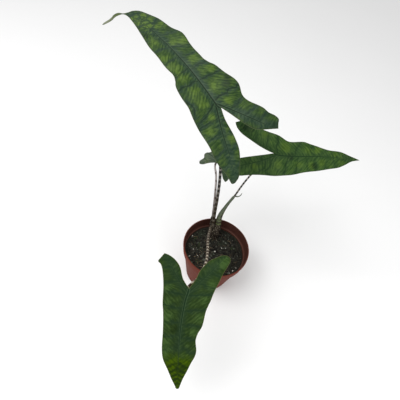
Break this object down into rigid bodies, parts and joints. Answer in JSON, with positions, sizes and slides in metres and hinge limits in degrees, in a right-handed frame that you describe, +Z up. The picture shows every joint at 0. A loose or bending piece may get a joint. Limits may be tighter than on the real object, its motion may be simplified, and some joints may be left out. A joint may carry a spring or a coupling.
{
  "type": "potted alocasia reticulata",
  "caption": "Potted aroid house plant: arrow-shaped leaves with dark netted veins on mottled stalks, rising from soil in a round tapered nursery pot.",
  "frame": {"origin": "centre of the pot's flat underside, on the surface that the pot stands on", "axes": "+Z up along the pot's axis; +X to the right and +Y away in the picture's view; the front leaf hangs over the rim towards -Y"},
  "size_m": [0.4389, 0.4134, 0.3999],
  "materials": {
    "pot_plastic": "satin",
    "soil": "matte",
    "crown": "matte",
    "sheath": "satin",
    "petiole": "satin",
    "leaf": "satin"
  },
  "bodies": {
    "root": {"pot": "pot_plastic", "soil": "soil", "crown": "crown", "sheath_b": "sheath", "petiole_a": "petiole", "petiole_b": "petiole", "petiole_c": "petiole", "petiole_d": "petiole", "leaf_a": "leaf", "leaf_b": "leaf", "leaf_c": "leaf", "leaf_d": "leaf"}
  },
  "joints": []
}
